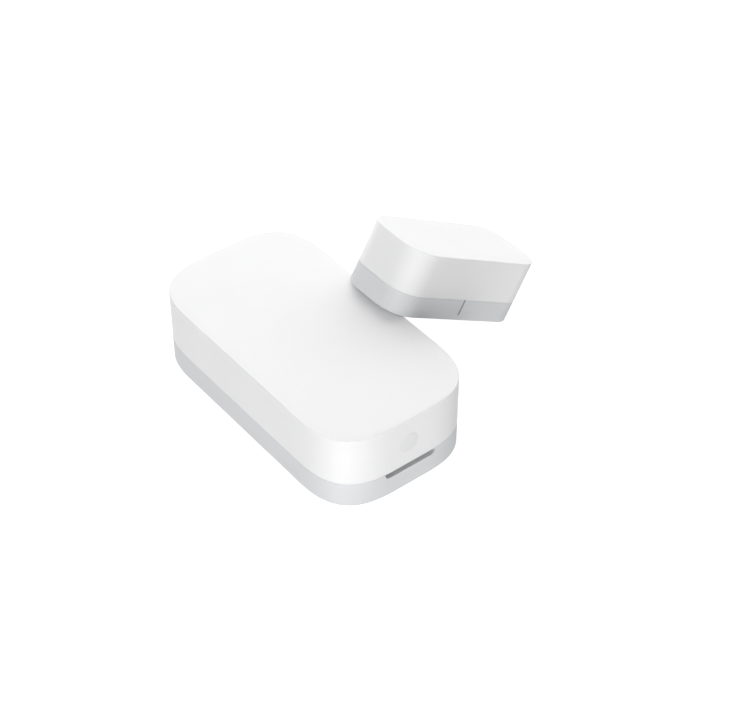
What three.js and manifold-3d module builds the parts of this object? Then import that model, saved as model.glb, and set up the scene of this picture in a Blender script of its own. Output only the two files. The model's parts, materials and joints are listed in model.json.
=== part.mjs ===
// Wireless door contact sensor: a pill-shaped sensor unit and the magnet unit that works it.
// Millimetres, +Z up. The origin is the centre of the sensor's adhesive face, +X runs along the
// sensor towards its reset button, and +Y points from the sensor towards the magnet unit, which
// leans on the sensor's far top edge.

import * as THREE from 'three';
import Module from 'manifold-3d';
import { mergeVertices } from 'three/addons/utils/BufferGeometryUtils.js';

const wasm = await Module();
wasm.setup();

// ---- Driving dimensions -------------------------------------------------------------------

// Overall sizes of the two units. A corner is a superellipse quarter of the given reach.
const SENSOR = { length: 41, width: 22, height: 11.15, corner: 9.05, power: 2.85 };
const MAGNET = { length: 24.95, width: 11, height: 9.08, corner: 3.8, power: 2.05 };

const SENSOR_SEAM = 3.76; // height of the line between white cover and grey base
const MAGNET_SEAM = 3.09;
const SEAM_GAP = 0.06;
const PAD_PROUD = 0.05; // how far the adhesive pads stand out of their recesses
const SENSOR_PAD = { inset: 2.3, depth: 0.6 };
const PAD_PLAY = 0.1; // between a pad's edge and its recess
const COVER_EDGE = 0.12; // rounding of the covers' top edges
const BASE_EDGE = 0.12;

// Wall thicknesses are insets from the outside face.
const COVER_WALL = 1.3;
const COVER_CEILING = 1.2;
const LIP_OUTER = 1.6;
const LIP_INNER = 2.35;
const FLOOR_TOP = 1.35;
const LIP_TOP = 5.2;
const FINGER_TOP = 6.7;
const FINGER_WIDTH = 3;
const FINGER_PLACES = [-14.5, 13.5]; // along X, on both long sides
const SNAP = { outer: 1.36, recess: 1.05, bottom: 6.0, top: 6.5, play: 0.2 };
const BITE = 0.2; // how far a rib or post runs into the wall it grows from

// Pry slot under the seam at the button end, and the alignment marks.
const PRY_SLOT = { y: -0.1, width: 7.8, height: 0.85, depth: 0.6, corner: 0.6 };
const MARK = { width: 0.28, depth: 0.3, bottom: 0.8 };

// Circuit board and what hangs under it.
const BOARD = { bottom: 8.0, top: 8.8, inset: 1.7, notchX: 17.9, notchHalf: 2.3 };
const POSTS = [[16.0, 6.4], [2.2, -7.6]];
const POST = { shoulder: 1.5, pin: 0.9, hole: 1.0, tip: 7.4 };
const CELL = { x: -10, radius: 8, bottom: 3.8, top: 7.0 };
const CAN = { wall: 0.25, rim: 6.7, corner: 0.45, crimp: 0.65 };
const GASKET = { outer: 0.75, inner: 1.05, bottom: 4.6, top: 6.8 }; // insets from the cell's edge
const CAP = { inset: 1.1, wall: 0.25, skirt: 4.7, step: 0.8 };
const HOLDER = { inner: 8.15, outer: 8.75, rim: 5.4, floor: 7.45, window: 5 };
const HOLDER_GAPS = { contactX: 6, contactHalf: 2.2, fingerX: -7, fingerHalf: 3 }; // X from its centre
const CELL_REST = { outer: 5.6, inner: 4.9, play: 0.15 }; // ring on the floor that backs the cell
const FLOOR_RIBS = { from: 3, to: 13, places: [-3, 0, 3], half: 0.35, top: 2.4 };
const SOLDER = 0.02; // between a metal foot and the board
const SIDE_CONTACT = { thick: 0.2, width: 3.2, foot: 2.4, bottom: 4.9, play: 0.15 };
const TOP_CONTACT = { thick: 0.2, width: 2.4, play: 0.08 };
const REED = { x: 2.1, y: 8.1, z: 7.05, half: 5.5, radius: 0.9, bore: 0.62, neck: 0.38 };
const REED_END = { shoulder: 0.25, taper: 0.5, plug: 0.9, flare: 1.4 };
const LEAD = { thick: 0.16, width: 0.34, overlap: 0.7, bend: 0.9, foot: 1.0, lift: 0.15 };

// Reset button, a little off the middle of the end face, and the side-push switch behind it.
const BUTTON = { y: -0.4, z: 7.28, hole: 1.42, radius: 1.34, flange: 1.7, stem: 0.65, edge: 0.1 };
const BUTTON_X = { face: SENSOR.length / 2, flange: 19.05, flangeBack: 18.55, stem: 17.65 };
const SWITCH = { back: 13.6, front: 16.9, half: 1.9, bottom: 6.25, plate: 0.15 };
const PLUNGER = { tip: 17.5, back: 16.3, half: 0.9, rise: 0.45, play: 0.1, stroke: 0.35 };

// The magnet unit leans at this angle on the sensor, its long axis across the sensor.
const LEAN = THREE.MathUtils.degToRad(30.3);
const LEAN_GAP = 0.06; // between the magnet unit's base and the sensor's top edge
const MAGNET_X = 0.27; // how far along the sensor from its middle the magnet unit stands
const MAGNET_COVER_WALL = 1.2;
const MAGNET_CEILING = 1.1;
const MAGNET_LIP = { outer: 1.35, inner: 2.05, top: 4.2 };
const MAGNET_FLOOR_TOP = 1.2;
const BAR = { length: 16, width: 5, height: 4, bottom: 1.3, corner: 0.3, edge: 0.2 };
const CRADLE = { play: 0.15, wall: 0.5, half: 6, top: 3.4 }; // walls along both sides of the bar
const PRESS_RIBS = { places: [-5, 5], half: 0.4, reach: 3.6, play: 0.1 };
const MAGNET_PAD = { length: 16, width: 7.6, corner: 2, depth: 0.5 };
const GLUE = 0.02; // between the magnet's pad and the roof of its recess

const CORNER_STEPS = 10;
const EDGE_STEPS = 2;
const ARC_STEPS = 4;
const SMALL_ROUND = 16;
const BUTTON_ROUND = 32;
const CELL_ROUND = 40;
const MERGE_WITHIN = 1e-4;
const FAR = 60; // longer than anything that is cut
const ROOT = 1; // inner walls start at this height, inside the floor

// ---- Materials ----------------------------------------------------------------------------

const LOOKS = {
  whitePlastic: { color: 0xf2f2f3, roughness: 0.45, metalness: 0 },
  greyPlastic: { color: 0xc9cacc, roughness: 0.5, metalness: 0 },
  buttonPlastic: { color: 0xececed, roughness: 0.45, metalness: 0 },
  foamTape: { color: 0xdfe0e1, roughness: 0.9, metalness: 0 },
  boardGreen: { color: 0x1d5b3a, roughness: 0.4, metalness: 0 },
  blackPlastic: { color: 0x1b1c1e, roughness: 0.5, metalness: 0 },
  clearGlass: { color: 0xbfd8c8, roughness: 0.08, metalness: 0 },
  brightSteel: { color: 0xc4c6c8, roughness: 0.3, metalness: 1 },
  goldPlate: { color: 0xd8b765, roughness: 0.3, metalness: 1 },
  darkChip: { color: 0x222326, roughness: 0.55, metalness: 0 },
  whiteCeramic: { color: 0xe6e4dc, roughness: 0.5, metalness: 0 },
  tanCeramic: { color: 0xa98a66, roughness: 0.5, metalness: 0 },
  nickel: { color: 0xb5b5b2, roughness: 0.25, metalness: 1 },
};

function named(name, look, geometry) {
  const mesh = new THREE.Mesh(geometry, new THREE.MeshStandardMaterial(LOOKS[look]));
  mesh.name = name;
  return mesh;
}

// ---- Outlines and plain solids --------------------------------------------------------------

// Plan outline of a unit, moved inwards by inset: straight sides joined by superellipse corners.
function planOutline(unit, inset = 0) {
  const reach = unit.corner - inset;
  const cornerX = unit.length / 2 - unit.corner;
  const cornerY = unit.width / 2 - unit.corner;
  const points = [];
  for (let quadrant = 0; quadrant < 4; quadrant += 1) {
    const signX = quadrant === 0 || quadrant === 3 ? 1 : -1;
    const signY = quadrant < 2 ? 1 : -1;
    for (let step = 0; step <= CORNER_STEPS; step += 1) {
      const angle = ((quadrant + step / CORNER_STEPS) * Math.PI) / 2;
      const along = Math.abs(Math.cos(angle));
      const across = Math.abs(Math.sin(angle));
      const radius = reach / (along ** unit.power + across ** unit.power) ** (1 / unit.power);
      const x = signX * (cornerX + radius * along);
      const y = signY * (cornerY + radius * across);
      points.push(new THREE.Vector2(x, y));
    }
  }
  return new THREE.Shape(points);
}

function roundedRectangle(length, width, radius) {
  return planOutline({ length, width, corner: radius, power: 2 });
}

function prism(shape, bottom, top) {
  const options = { depth: top - bottom, bevelEnabled: false, curveSegments: ARC_STEPS };
  return new THREE.ExtrudeGeometry(shape, options).translate(0, 0, bottom);
}

// A prism whose two end edges are rounded by edge.
function softPrism(shape, bottom, top, edge) {
  const options = {
    depth: top - bottom - 2 * edge,
    bevelEnabled: true,
    bevelThickness: edge,
    bevelSize: edge,
    bevelOffset: -edge,
    bevelSegments: EDGE_STEPS,
  };
  return new THREE.ExtrudeGeometry(shape, options).translate(0, 0, bottom + edge);
}

function block(from, to) {
  const size = to.map((high, axis) => high - from[axis]);
  const middle = to.map((high, axis) => (high + from[axis]) / 2);
  return new THREE.BoxGeometry(...size).translate(...middle);
}

function disc(radius, bottom, top, x = 0, y = 0, sides = SMALL_ROUND) {
  const geometry = new THREE.CylinderGeometry(radius, radius, top - bottom, sides);
  return geometry.rotateX(Math.PI / 2).translate(x, y, (bottom + top) / 2);
}

// Turns a shape of revolution about Z from a closed list of [radius, height] corners.
function turned(corners, sides) {
  const profile = corners.map(([radius, height]) => new THREE.Vector2(radius, height));
  return new THREE.LatheGeometry(profile, sides).rotateX(Math.PI / 2);
}

// Lays geometry built along Z along X instead: its X becomes Y and its Y becomes Z.
function layAlongX(geometry) {
  const turn = new THREE.Matrix4().makeBasis(
    new THREE.Vector3(0, 1, 0),
    new THREE.Vector3(0, 0, 1),
    new THREE.Vector3(1, 0, 0),
  );
  return geometry.applyMatrix4(turn);
}

// A bent strip: an outline in the X-Z plane, extruded across Y.
function strip(corners, width, y) {
  const shape = new THREE.Shape(corners.map(([x, z]) => new THREE.Vector2(x, z)));
  const geometry = prism(shape, -width / 2, width / 2);
  return geometry.rotateX(Math.PI / 2).translate(0, y, 0);
}

// ---- Cutting and joining ----------------------------------------------------------------------

function solidOf(geometry) {
  const bare = geometry.clone();
  bare.deleteAttribute('normal');
  bare.deleteAttribute('uv');
  const merged = mergeVertices(bare, MERGE_WITHIN);
  const mesh = new wasm.Mesh({
    numProp: 3,
    vertProperties: Float32Array.from(merged.attributes.position.array),
    triVerts: Uint32Array.from(merged.index.array),
  });
  return new wasm.Manifold(mesh);
}

function geometryOf(solid) {
  const mesh = solid.getMesh();
  const geometry = new THREE.BufferGeometry();
  geometry.setAttribute('position', new THREE.BufferAttribute(mesh.vertProperties, 3));
  geometry.setIndex(new THREE.BufferAttribute(mesh.triVerts, 1));
  geometry.computeVertexNormals();
  return geometry;
}

const join = (first, ...others) => others.reduce((whole, next) => whole.add(next), first);
const cut = (first, ...tools) => tools.reduce((left, tool) => left.subtract(tool), first);

const above = (height) => solidOf(block([-FAR, -FAR, height], [FAR, FAR, FAR]));
const below = (height) => solidOf(block([-FAR, -FAR, -FAR], [FAR, FAR, height]));

// ---- Sensor unit: outer pieces ------------------------------------------------------------------

// Upright blocks over the places where the snap fingers stand, widened by play on each side.
function fingerPlaces(play = 0) {
  const half = FINGER_WIDTH / 2 + play;
  const blocks = FINGER_PLACES.map((x) =>
    solidOf(block([x - half, -FAR, -FAR], [x + half, FAR, FAR])),
  );
  return join(...blocks);
}

function pryArch() {
  const half = PRY_SLOT.width / 2;
  const low = SENSOR_SEAM - PRY_SLOT.height;
  const shape = new THREE.Shape();
  shape.moveTo(-half, SENSOR_SEAM + 1);
  shape.lineTo(-half, low + PRY_SLOT.corner);
  shape.quadraticCurveTo(-half, low, -half + PRY_SLOT.corner, low);
  shape.lineTo(half - PRY_SLOT.corner, low);
  shape.quadraticCurveTo(half, low, half, low + PRY_SLOT.corner);
  shape.lineTo(half, SENSOR_SEAM + 1);
  const end = SENSOR.length / 2;
  const arch = layAlongX(prism(shape, end - PRY_SLOT.depth, end + 1));
  return solidOf(arch.translate(0, PRY_SLOT.y, 0));
}

function rearCover() {
  const tray = solidOf(softPrism(planOutline(SENSOR), PAD_PROUD, SENSOR.height, BASE_EDGE));
  const outside = cut(tray, above(SENSOR_SEAM - SEAM_GAP / 2), pryArch());
  const lip = solidOf(prism(planOutline(SENSOR, LIP_OUTER), ROOT, LIP_TOP));
  const fingers = solidOf(prism(planOutline(SENSOR, LIP_OUTER), ROOT, FINGER_TOP));
  const beads = solidOf(prism(planOutline(SENSOR, SNAP.outer), SNAP.bottom, SNAP.top));
  const upstands = join(fingers, beads).intersect(fingerPlaces());
  const inside = solidOf(prism(planOutline(SENSOR, LIP_INNER), FLOOR_TOP, FAR));
  const recess = planOutline(SENSOR, SENSOR_PAD.inset - PAD_PLAY);
  const padRecess = solidOf(prism(recess, -1, SENSOR_PAD.depth));
  const mark = solidOf(block(
    [-MARK.width / 2, SENSOR.width / 2 - MARK.depth, MARK.bottom],
    [MARK.width / 2, SENSOR.width / 2 + 1, SENSOR_SEAM],
  ));
  const cellRest = cut(
    solidOf(disc(CELL_REST.outer, ROOT, CELL.bottom - CELL_REST.play, CELL.x, 0, CELL_ROUND)),
    solidOf(disc(CELL_REST.inner, FLOOR_TOP, FAR, CELL.x, 0, CELL_ROUND)),
  );
  const ribs = FLOOR_RIBS.places.map((y) => solidOf(block(
    [FLOOR_RIBS.from, y - FLOOR_RIBS.half, ROOT],
    [FLOOR_RIBS.to, y + FLOOR_RIBS.half, FLOOR_RIBS.top],
  )));
  const shell = cut(join(outside, lip, upstands), inside);
  return geometryOf(cut(join(shell, cellRest, ...ribs), padRecess, mark));
}

function sensorPad() {
  return prism(planOutline(SENSOR, SENSOR_PAD.inset), 0, SENSOR_PAD.depth);
}

function boardPost([x, y]) {
  const ceiling = SENSOR.height - COVER_CEILING;
  const corners = [
    [0, POST.tip],
    [POST.pin, POST.tip],
    [POST.pin, BOARD.top],
    [POST.shoulder, BOARD.top],
    [POST.shoulder, ceiling + BITE],
    [0, ceiling + BITE],
  ];
  return solidOf(turned(corners, SMALL_ROUND).translate(x, y, 0));
}

function frontCover() {
  const whole = solidOf(softPrism(planOutline(SENSOR), 0, SENSOR.height, COVER_EDGE));
  const ceiling = SENSOR.height - COVER_CEILING;
  const inside = solidOf(prism(planOutline(SENSOR, COVER_WALL), -1, ceiling));
  const catches = solidOf(
    prism(planOutline(SENSOR, SNAP.recess), SNAP.bottom - SNAP.play, SNAP.top + SNAP.play),
  ).intersect(fingerPlaces(SNAP.play));
  const hole = solidOf(
    layAlongX(disc(BUTTON.hole, BUTTON_X.stem, FAR, BUTTON.y, BUTTON.z, BUTTON_ROUND)),
  );
  const shell = cut(whole, below(SENSOR_SEAM + SEAM_GAP / 2), inside, catches, hole);
  return geometryOf(join(shell, ...POSTS.map(boardPost)));
}

// Button cap, retaining flange and the stem that reaches the switch, as one turned piece along X.
function resetButton() {
  const corners = [
    [0, BUTTON_X.stem],
    [BUTTON.stem, BUTTON_X.stem],
    [BUTTON.stem, BUTTON_X.flangeBack],
    [BUTTON.flange, BUTTON_X.flangeBack],
    [BUTTON.flange, BUTTON_X.flange],
    [BUTTON.radius, BUTTON_X.flange],
    [BUTTON.radius, BUTTON_X.face - BUTTON.edge],
    [BUTTON.radius - BUTTON.edge, BUTTON_X.face],
    [0, BUTTON_X.face],
  ];
  return layAlongX(turned(corners, BUTTON_ROUND)).translate(0, BUTTON.y, BUTTON.z);
}

// ---- Sensor unit: inner pieces -------------------------------------------------------------------

function circuitBoard() {
  const plate = solidOf(prism(planOutline(SENSOR, BOARD.inset), BOARD.bottom, BOARD.top));
  const holes = POSTS.map(([x, y]) => solidOf(disc(POST.hole, 0, FAR, x, y)));
  const notch = solidOf(block(
    [BOARD.notchX, BUTTON.y - BOARD.notchHalf, 0],
    [FAR, BUTTON.y + BOARD.notchHalf, FAR],
  ));
  return geometryOf(cut(plate, ...holes, notch));
}

function batteryHolder() {
  const { x } = CELL;
  const ring = cut(
    solidOf(disc(HOLDER.outer, HOLDER.rim, BOARD.bottom, x, 0, CELL_ROUND)),
    solidOf(disc(HOLDER.inner, 0, HOLDER.floor, x, 0, CELL_ROUND)),
    solidOf(disc(HOLDER.window, 0, FAR, x, 0, CELL_ROUND)),
  );
  const contactGap = solidOf(block(
    [x + HOLDER_GAPS.contactX, -HOLDER_GAPS.contactHalf, 0],
    [x + FAR, HOLDER_GAPS.contactHalf, FAR],
  ));
  const fingerGap = solidOf(block(
    [x - FAR, -HOLDER_GAPS.fingerHalf, 0],
    [x + HOLDER_GAPS.fingerX, HOLDER_GAPS.fingerHalf, HOLDER.floor],
  ));
  return geometryOf(cut(ring, contactGap, fingerGap));
}

// Upright spring beside the cell's can, with a foot on the board.
function positiveContact() {
  const edge = CELL.x + CELL.radius + SIDE_CONTACT.play;
  const { thick, bottom } = SIDE_CONTACT;
  const foot = BOARD.bottom - SOLDER;
  const corners = [
    [edge, bottom],
    [edge + thick, bottom],
    [edge + thick, foot - thick],
    [edge + SIDE_CONTACT.foot, foot - thick],
    [edge + SIDE_CONTACT.foot, foot],
    [edge, foot],
  ];
  return strip(corners, SIDE_CONTACT.width, 0);
}

// Leaf spring that slopes from the board to the cell's cap and turns up at its free end.
function negativeContact() {
  const { x } = CELL;
  const { thick } = TOP_CONTACT;
  const foot = BOARD.bottom - SOLDER;
  const touch = CELL.top + TOP_CONTACT.play;
  const corners = [
    [x - 4, foot - thick],
    [x - 2.4, foot - thick],
    [x - 0.6, touch],
    [x + 1.4, touch],
    [x + 2.4, touch + 0.4],
    [x + 2.2, touch + 0.6],
    [x + 1.3, touch + thick],
    [x - 0.5, touch + thick],
    [x - 2.3, foot],
    [x - 4, foot],
  ];
  return strip(corners, TOP_CONTACT.width, 0);
}

function reedGlass() {
  const { half, radius, bore, neck } = REED;
  const { shoulder, taper, plug, flare } = REED_END;
  const corners = [
    [neck, -half],
    [radius - shoulder, -half],
    [radius, -half + taper],
    [radius, half - taper],
    [radius - shoulder, half],
    [neck, half],
    [neck, half - plug],
    [bore, half - flare],
    [bore, -half + flare],
    [neck, -half + plug],
    [neck, -half],
  ];
  return layAlongX(turned(corners, SMALL_ROUND)).translate(REED.x, REED.y, REED.z);
}

// One reed lead: a blade inside the tube, a straight run through its neck and a foot on the board.
// side is -1 for the left lead, whose blade lies above the centre, and +1 for the right one.
function reedLead(side) {
  const { thick } = LEAD;
  const low = REED.z - side * LEAD.lift - thick / 2;
  const high = low + thick;
  const tip = REED.x - side * LEAD.overlap;
  const bend = REED.x + side * (REED.half + LEAD.bend);
  const foot = BOARD.bottom - SOLDER;
  const corners = [
    [tip, low],
    [bend + side * thick, low],
    [bend + side * thick, foot - thick],
    [bend + side * LEAD.foot, foot - thick],
    [bend + side * LEAD.foot, foot],
    [bend, foot],
    [bend, high],
    [tip, high],
  ];
  return strip(side > 0 ? corners : corners.reverse(), LEAD.width, REED.y);
}

function switchHousing() {
  const body = solidOf(block(
    [SWITCH.back, BUTTON.y - SWITCH.half, SWITCH.bottom],
    [SWITCH.front, BUTTON.y + SWITCH.half, BOARD.bottom],
  ));
  const reach = PLUNGER.half + PLUNGER.play;
  const rise = PLUNGER.rise + PLUNGER.play;
  const well = solidOf(block(
    [PLUNGER.back - PLUNGER.play - PLUNGER.stroke, BUTTON.y - reach, BUTTON.z - rise],
    [SWITCH.front + 1, BUTTON.y + reach, BUTTON.z + rise],
  ));
  return geometryOf(cut(body, well));
}

function switchCoverPlate() {
  return block(
    [SWITCH.back, BUTTON.y - SWITCH.half, SWITCH.bottom - SWITCH.plate],
    [SWITCH.front, BUTTON.y + SWITCH.half, SWITCH.bottom],
  );
}

function switchPlunger() {
  return block(
    [PLUNGER.back, BUTTON.y - PLUNGER.half, BUTTON.z - PLUNGER.rise],
    [PLUNGER.tip, BUTTON.y + PLUNGER.half, BUTTON.z + PLUNGER.rise],
  );
}

// Small parts on the board's upper face: [name, look, centre x, centre y, length, width, height].
const BOARD_PARTS = [
  ['radio_chip', 'darkChip', 4.0, 1.2, 5, 5, 0.75],
  ['regulator_chip', 'darkChip', -5.5, 5.2, 2.9, 1.6, 0.7],
  ['crystal_can', 'nickel', 9.4, 4.6, 3.2, 2.5, 0.6],
  ['chip_antenna', 'whiteCeramic', 14.6, -5.6, 1.6, 5.0, 0.7],
  ['power_inductor', 'darkChip', -5.6, 1.6, 2.0, 2.0, 0.8],
  ['status_led', 'whiteCeramic', 10.6, 0, 1.6, 0.8, 0.5],
];

// Chip resistors and capacitors share two body sizes.
const CAPACITOR_PLACES = [
  [0.2, 4.6],
  [0.2, 6.0],
  [7.6, -2.6],
  [9.4, -2.6],
  [-2.6, -4.2],
  [-8.5, 3.4],
];
const RESISTOR_PLACES = [[11.2, -4.4], [11.2, -5.8], [13.2, 2.6], [-2.6, -6.0]];
const CAPACITOR = [1.0, 0.55, 0.55];
const RESISTOR = [1.0, 0.5, 0.35];

function boardPart([name, look, x, y, length, width, height]) {
  const from = [x - length / 2, y - width / 2, BOARD.top];
  const to = [x + length / 2, y + width / 2, BOARD.top + height];
  return named(name, look, block(from, to));
}

function boardParts() {
  const capacitors = CAPACITOR_PLACES.map(([x, y], index) =>
    boardPart([`capacitor_${index + 1}`, 'tanCeramic', x, y, ...CAPACITOR]),
  );
  const resistors = RESISTOR_PLACES.map(([x, y], index) =>
    boardPart([`resistor_${index + 1}`, 'darkChip', x, y, ...RESISTOR]),
  );
  return [...BOARD_PARTS.map(boardPart), ...capacitors, ...resistors];
}

// ---- Coin cell -------------------------------------------------------------------------------------

function placedCell(corners) {
  return turned(corners, CELL_ROUND).translate(CELL.x, 0, 0);
}

function batteryCan() {
  const { radius, bottom } = CELL;
  const { wall, rim, corner, crimp } = CAN;
  return placedCell([
    [0, bottom],
    [radius - corner, bottom],
    [radius, bottom + corner],
    [radius, rim - corner],
    [radius - corner, rim],
    [radius - crimp, rim],
    [radius - wall, rim - corner],
    [radius - wall, bottom + corner],
    [radius - corner - wall, bottom + wall],
    [0, bottom + wall],
  ]);
}

function batteryGasket() {
  const outer = CELL.radius - GASKET.outer;
  const inner = CELL.radius - GASKET.inner;
  return placedCell([
    [inner, GASKET.bottom],
    [outer, GASKET.bottom],
    [outer, GASKET.top],
    [inner, GASKET.top],
    [inner, GASKET.bottom],
  ]);
}

function batteryCap() {
  const { top } = CELL;
  const { wall, skirt, step } = CAP;
  const outer = CELL.radius - CAP.inset;
  return placedCell([
    [0, top - wall],
    [outer - step, top - wall],
    [outer - wall, top - wall - step / 2],
    [outer - wall, skirt],
    [outer, skirt],
    [outer, top - step / 2],
    [outer - step, top],
    [0, top],
  ]);
}

// ---- Magnet unit, built lying flat on its own base ----------------------------------------------------

// Outline of the magnet unit's adhesive pad, grown outwards by play.
function padOutline(play) {
  const { length, width, corner } = MAGNET_PAD;
  return roundedRectangle(length + 2 * play, width + 2 * play, corner);
}

function magnetBase() {
  const tray = solidOf(softPrism(planOutline(MAGNET), PAD_PROUD, MAGNET.height, BASE_EDGE));
  const outside = cut(tray, above(MAGNET_SEAM - SEAM_GAP / 2));
  const lip = solidOf(prism(planOutline(MAGNET, MAGNET_LIP.outer), ROOT, MAGNET_LIP.top));
  const inside = solidOf(prism(planOutline(MAGNET, MAGNET_LIP.inner), MAGNET_FLOOR_TOP, FAR));
  const near = BAR.width / 2 + CRADLE.play;
  const far = near + CRADLE.wall;
  const cradle = [[-far, -near], [near, far]].map(([low, high]) =>
    solidOf(block([-CRADLE.half, low, ROOT], [CRADLE.half, high, CRADLE.top])),
  );
  const padRecess = solidOf(prism(padOutline(PAD_PLAY), -1, MAGNET_PAD.depth + GLUE));
  const mark = solidOf(block(
    [-MARK.width / 2, -MAGNET.width / 2 - 1, MARK.bottom],
    [MARK.width / 2, -MAGNET.width / 2 + MARK.depth, MAGNET_SEAM],
  ));
  const shell = cut(join(outside, lip), inside);
  return geometryOf(cut(join(shell, ...cradle), padRecess, mark));
}

function magnetCover() {
  const whole = solidOf(softPrism(planOutline(MAGNET), 0, MAGNET.height, COVER_EDGE));
  const ceiling = MAGNET.height - MAGNET_CEILING;
  const inside = solidOf(prism(planOutline(MAGNET, MAGNET_COVER_WALL), -1, ceiling));
  const pressRibs = PRESS_RIBS.places.map((x) => solidOf(block(
    [x - PRESS_RIBS.half, -PRESS_RIBS.reach, BAR.bottom + BAR.height + PRESS_RIBS.play],
    [x + PRESS_RIBS.half, PRESS_RIBS.reach, ceiling + BITE],
  )));
  const shell = cut(whole, below(MAGNET_SEAM + SEAM_GAP / 2), inside);
  return geometryOf(join(shell, ...pressRibs));
}

function barMagnet() {
  const shape = roundedRectangle(BAR.length, BAR.width, BAR.corner);
  return softPrism(shape, BAR.bottom, BAR.bottom + BAR.height, BAR.edge);
}

function magnetPad() {
  return prism(padOutline(0), 0, MAGNET_PAD.depth);
}

// ---- Assembly --------------------------------------------------------------------------------------------

// The magnet unit stands on the far bottom edge of its base, and its underside passes just over
// the sensor's far top edge. Its base plane meets that edge at height SENSOR.height.
function magnetUnit() {
  const unit = new THREE.Group();
  const farEdgeY = SENSOR.width / 2 + (SENSOR.height + LEAN_GAP) / Math.tan(LEAN);
  const half = MAGNET.length / 2;
  const y = farEdgeY - half * Math.cos(LEAN) - PAD_PROUD * Math.sin(LEAN);
  const z = half * Math.sin(LEAN) - PAD_PROUD * Math.cos(LEAN);
  unit.position.set(MAGNET_X, y, z);
  unit.rotation.set(-LEAN, 0, Math.PI / 2);
  unit.add(
    named('magnet_cover', 'whitePlastic', magnetCover()),
    named('magnet_base', 'greyPlastic', magnetBase()),
    named('bar_magnet', 'nickel', barMagnet()),
    named('magnet_adhesive_pad', 'foamTape', magnetPad()),
  );
  return unit;
}

function sensorUnit() {
  const unit = new THREE.Group();
  unit.add(
    named('rear_cover', 'greyPlastic', rearCover()),
    named('sensor_adhesive_pad', 'foamTape', sensorPad()),
    named('front_cover', 'whitePlastic', frontCover()),
    named('reset_button', 'buttonPlastic', resetButton()),
    named('circuit_board', 'boardGreen', circuitBoard()),
    named('battery_holder', 'blackPlastic', batteryHolder()),
    named('battery_positive_contact', 'goldPlate', positiveContact()),
    named('battery_negative_contact', 'goldPlate', negativeContact()),
    named('reed_glass_tube', 'clearGlass', reedGlass()),
    named('reed_lead_left', 'brightSteel', reedLead(-1)),
    named('reed_lead_right', 'brightSteel', reedLead(1)),
    named('switch_housing', 'blackPlastic', switchHousing()),
    named('switch_cover_plate', 'brightSteel', switchCoverPlate()),
    named('switch_plunger', 'blackPlastic', switchPlunger()),
    named('battery_can', 'brightSteel', batteryCan()),
    named('battery_gasket', 'blackPlastic', batteryGasket()),
    named('battery_cap', 'brightSteel', batteryCap()),
    ...boardParts(),
  );
  return unit;
}

const doorContactSensor = new THREE.Group();
doorContactSensor.add(sensorUnit(), magnetUnit());

export default doorContactSensor;
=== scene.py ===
import json
import math

import bmesh
import bpy
from mathutils import Matrix, Vector


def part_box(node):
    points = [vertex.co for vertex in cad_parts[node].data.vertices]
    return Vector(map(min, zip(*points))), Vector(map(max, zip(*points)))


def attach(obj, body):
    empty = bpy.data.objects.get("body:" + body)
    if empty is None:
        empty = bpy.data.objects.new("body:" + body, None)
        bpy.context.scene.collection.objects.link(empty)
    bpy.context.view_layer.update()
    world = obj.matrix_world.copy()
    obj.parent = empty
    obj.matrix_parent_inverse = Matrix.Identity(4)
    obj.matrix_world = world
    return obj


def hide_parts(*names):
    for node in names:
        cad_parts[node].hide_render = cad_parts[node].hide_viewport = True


# ---- The frame ----------------------------------------

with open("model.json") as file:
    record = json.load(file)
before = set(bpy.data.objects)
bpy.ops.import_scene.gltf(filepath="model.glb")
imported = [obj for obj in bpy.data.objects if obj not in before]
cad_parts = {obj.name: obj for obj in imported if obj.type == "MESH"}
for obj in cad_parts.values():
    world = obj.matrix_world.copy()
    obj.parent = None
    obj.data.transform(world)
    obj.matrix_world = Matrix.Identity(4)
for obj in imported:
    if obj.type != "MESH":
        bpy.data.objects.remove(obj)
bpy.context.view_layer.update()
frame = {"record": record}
mounts = {mount["name"]: mount for mount in frame["record"]["mounts"]}

MM = 0.001  # every size below is in millimetres; meshes are scaled by this when they are made


def box_mm(node):
    """Lowest and highest corner of a CAD node, in millimetres."""
    low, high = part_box(node)
    return low / MM, high / MM


cover_low, cover_high = box_mm("front_cover")
base_low, base_high = box_mm("rear_cover")
pad_low, pad_high = box_mm("sensor_adhesive_pad")
button_low, button_high = box_mm("reset_button")
board_low, board_high = box_mm("circuit_board")
holder_low, holder_high = box_mm("battery_holder")
can_low, can_high = box_mm("battery_can")
cap_low, cap_high = box_mm("battery_cap")

# Plan outlines: straight sides joined by superellipse corners of this reach and power.
SENSOR = {
    "length": cover_high.x - cover_low.x,
    "width": cover_high.y - cover_low.y,
    "corner": 9.05,
    "power": 2.85,
}
MAGNET = {"length": 24.95, "width": 11.0, "corner": 3.8, "power": 2.05}

# Shells. Walls and lips are given as insets from the outside face.
SEAM_GAP = 0.02
COVER_WALL, COVER_CEILING = 1.3, 1.2
LIP_OUTER, LIP_INNER, LIP_TOP = 1.6, 2.35, 5.2
FLOOR_TOP = 1.35
PAD_INSET, PAD_PLAY, PAD_EDGE = 2.3, 0.1, 0.04
TOP_EDGE, SEAM_EDGE, BASE_EDGE = 0.12, 0.03, 0.14
SLOT = {"y": -0.1, "width": 7.8, "height": 0.85, "depth": 0.6, "corner": 0.6, "flare": 0.01}
MARK = {"width": 0.28, "depth": 0.3, "bottom": 0.8, "flare": 0.02}

# Snap fingers on the rear cover, and the catches in the front cover that they click into.
FINGER_WIDTH, FINGER_PLACES = 3.0, (-14.5, 13.5)
FINGER_INSET = 0.02  # how much thinner than the lip the fingers are, on each face
FINGER_ROOT = 0.5  # how far a finger runs down into the lip
BEAD = {"inset": 1.36, "low": 6.0, "high": 6.5, "slope": 0.15}
CATCH_INSET, CATCH_PLAY = 1.05, 0.2

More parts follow.
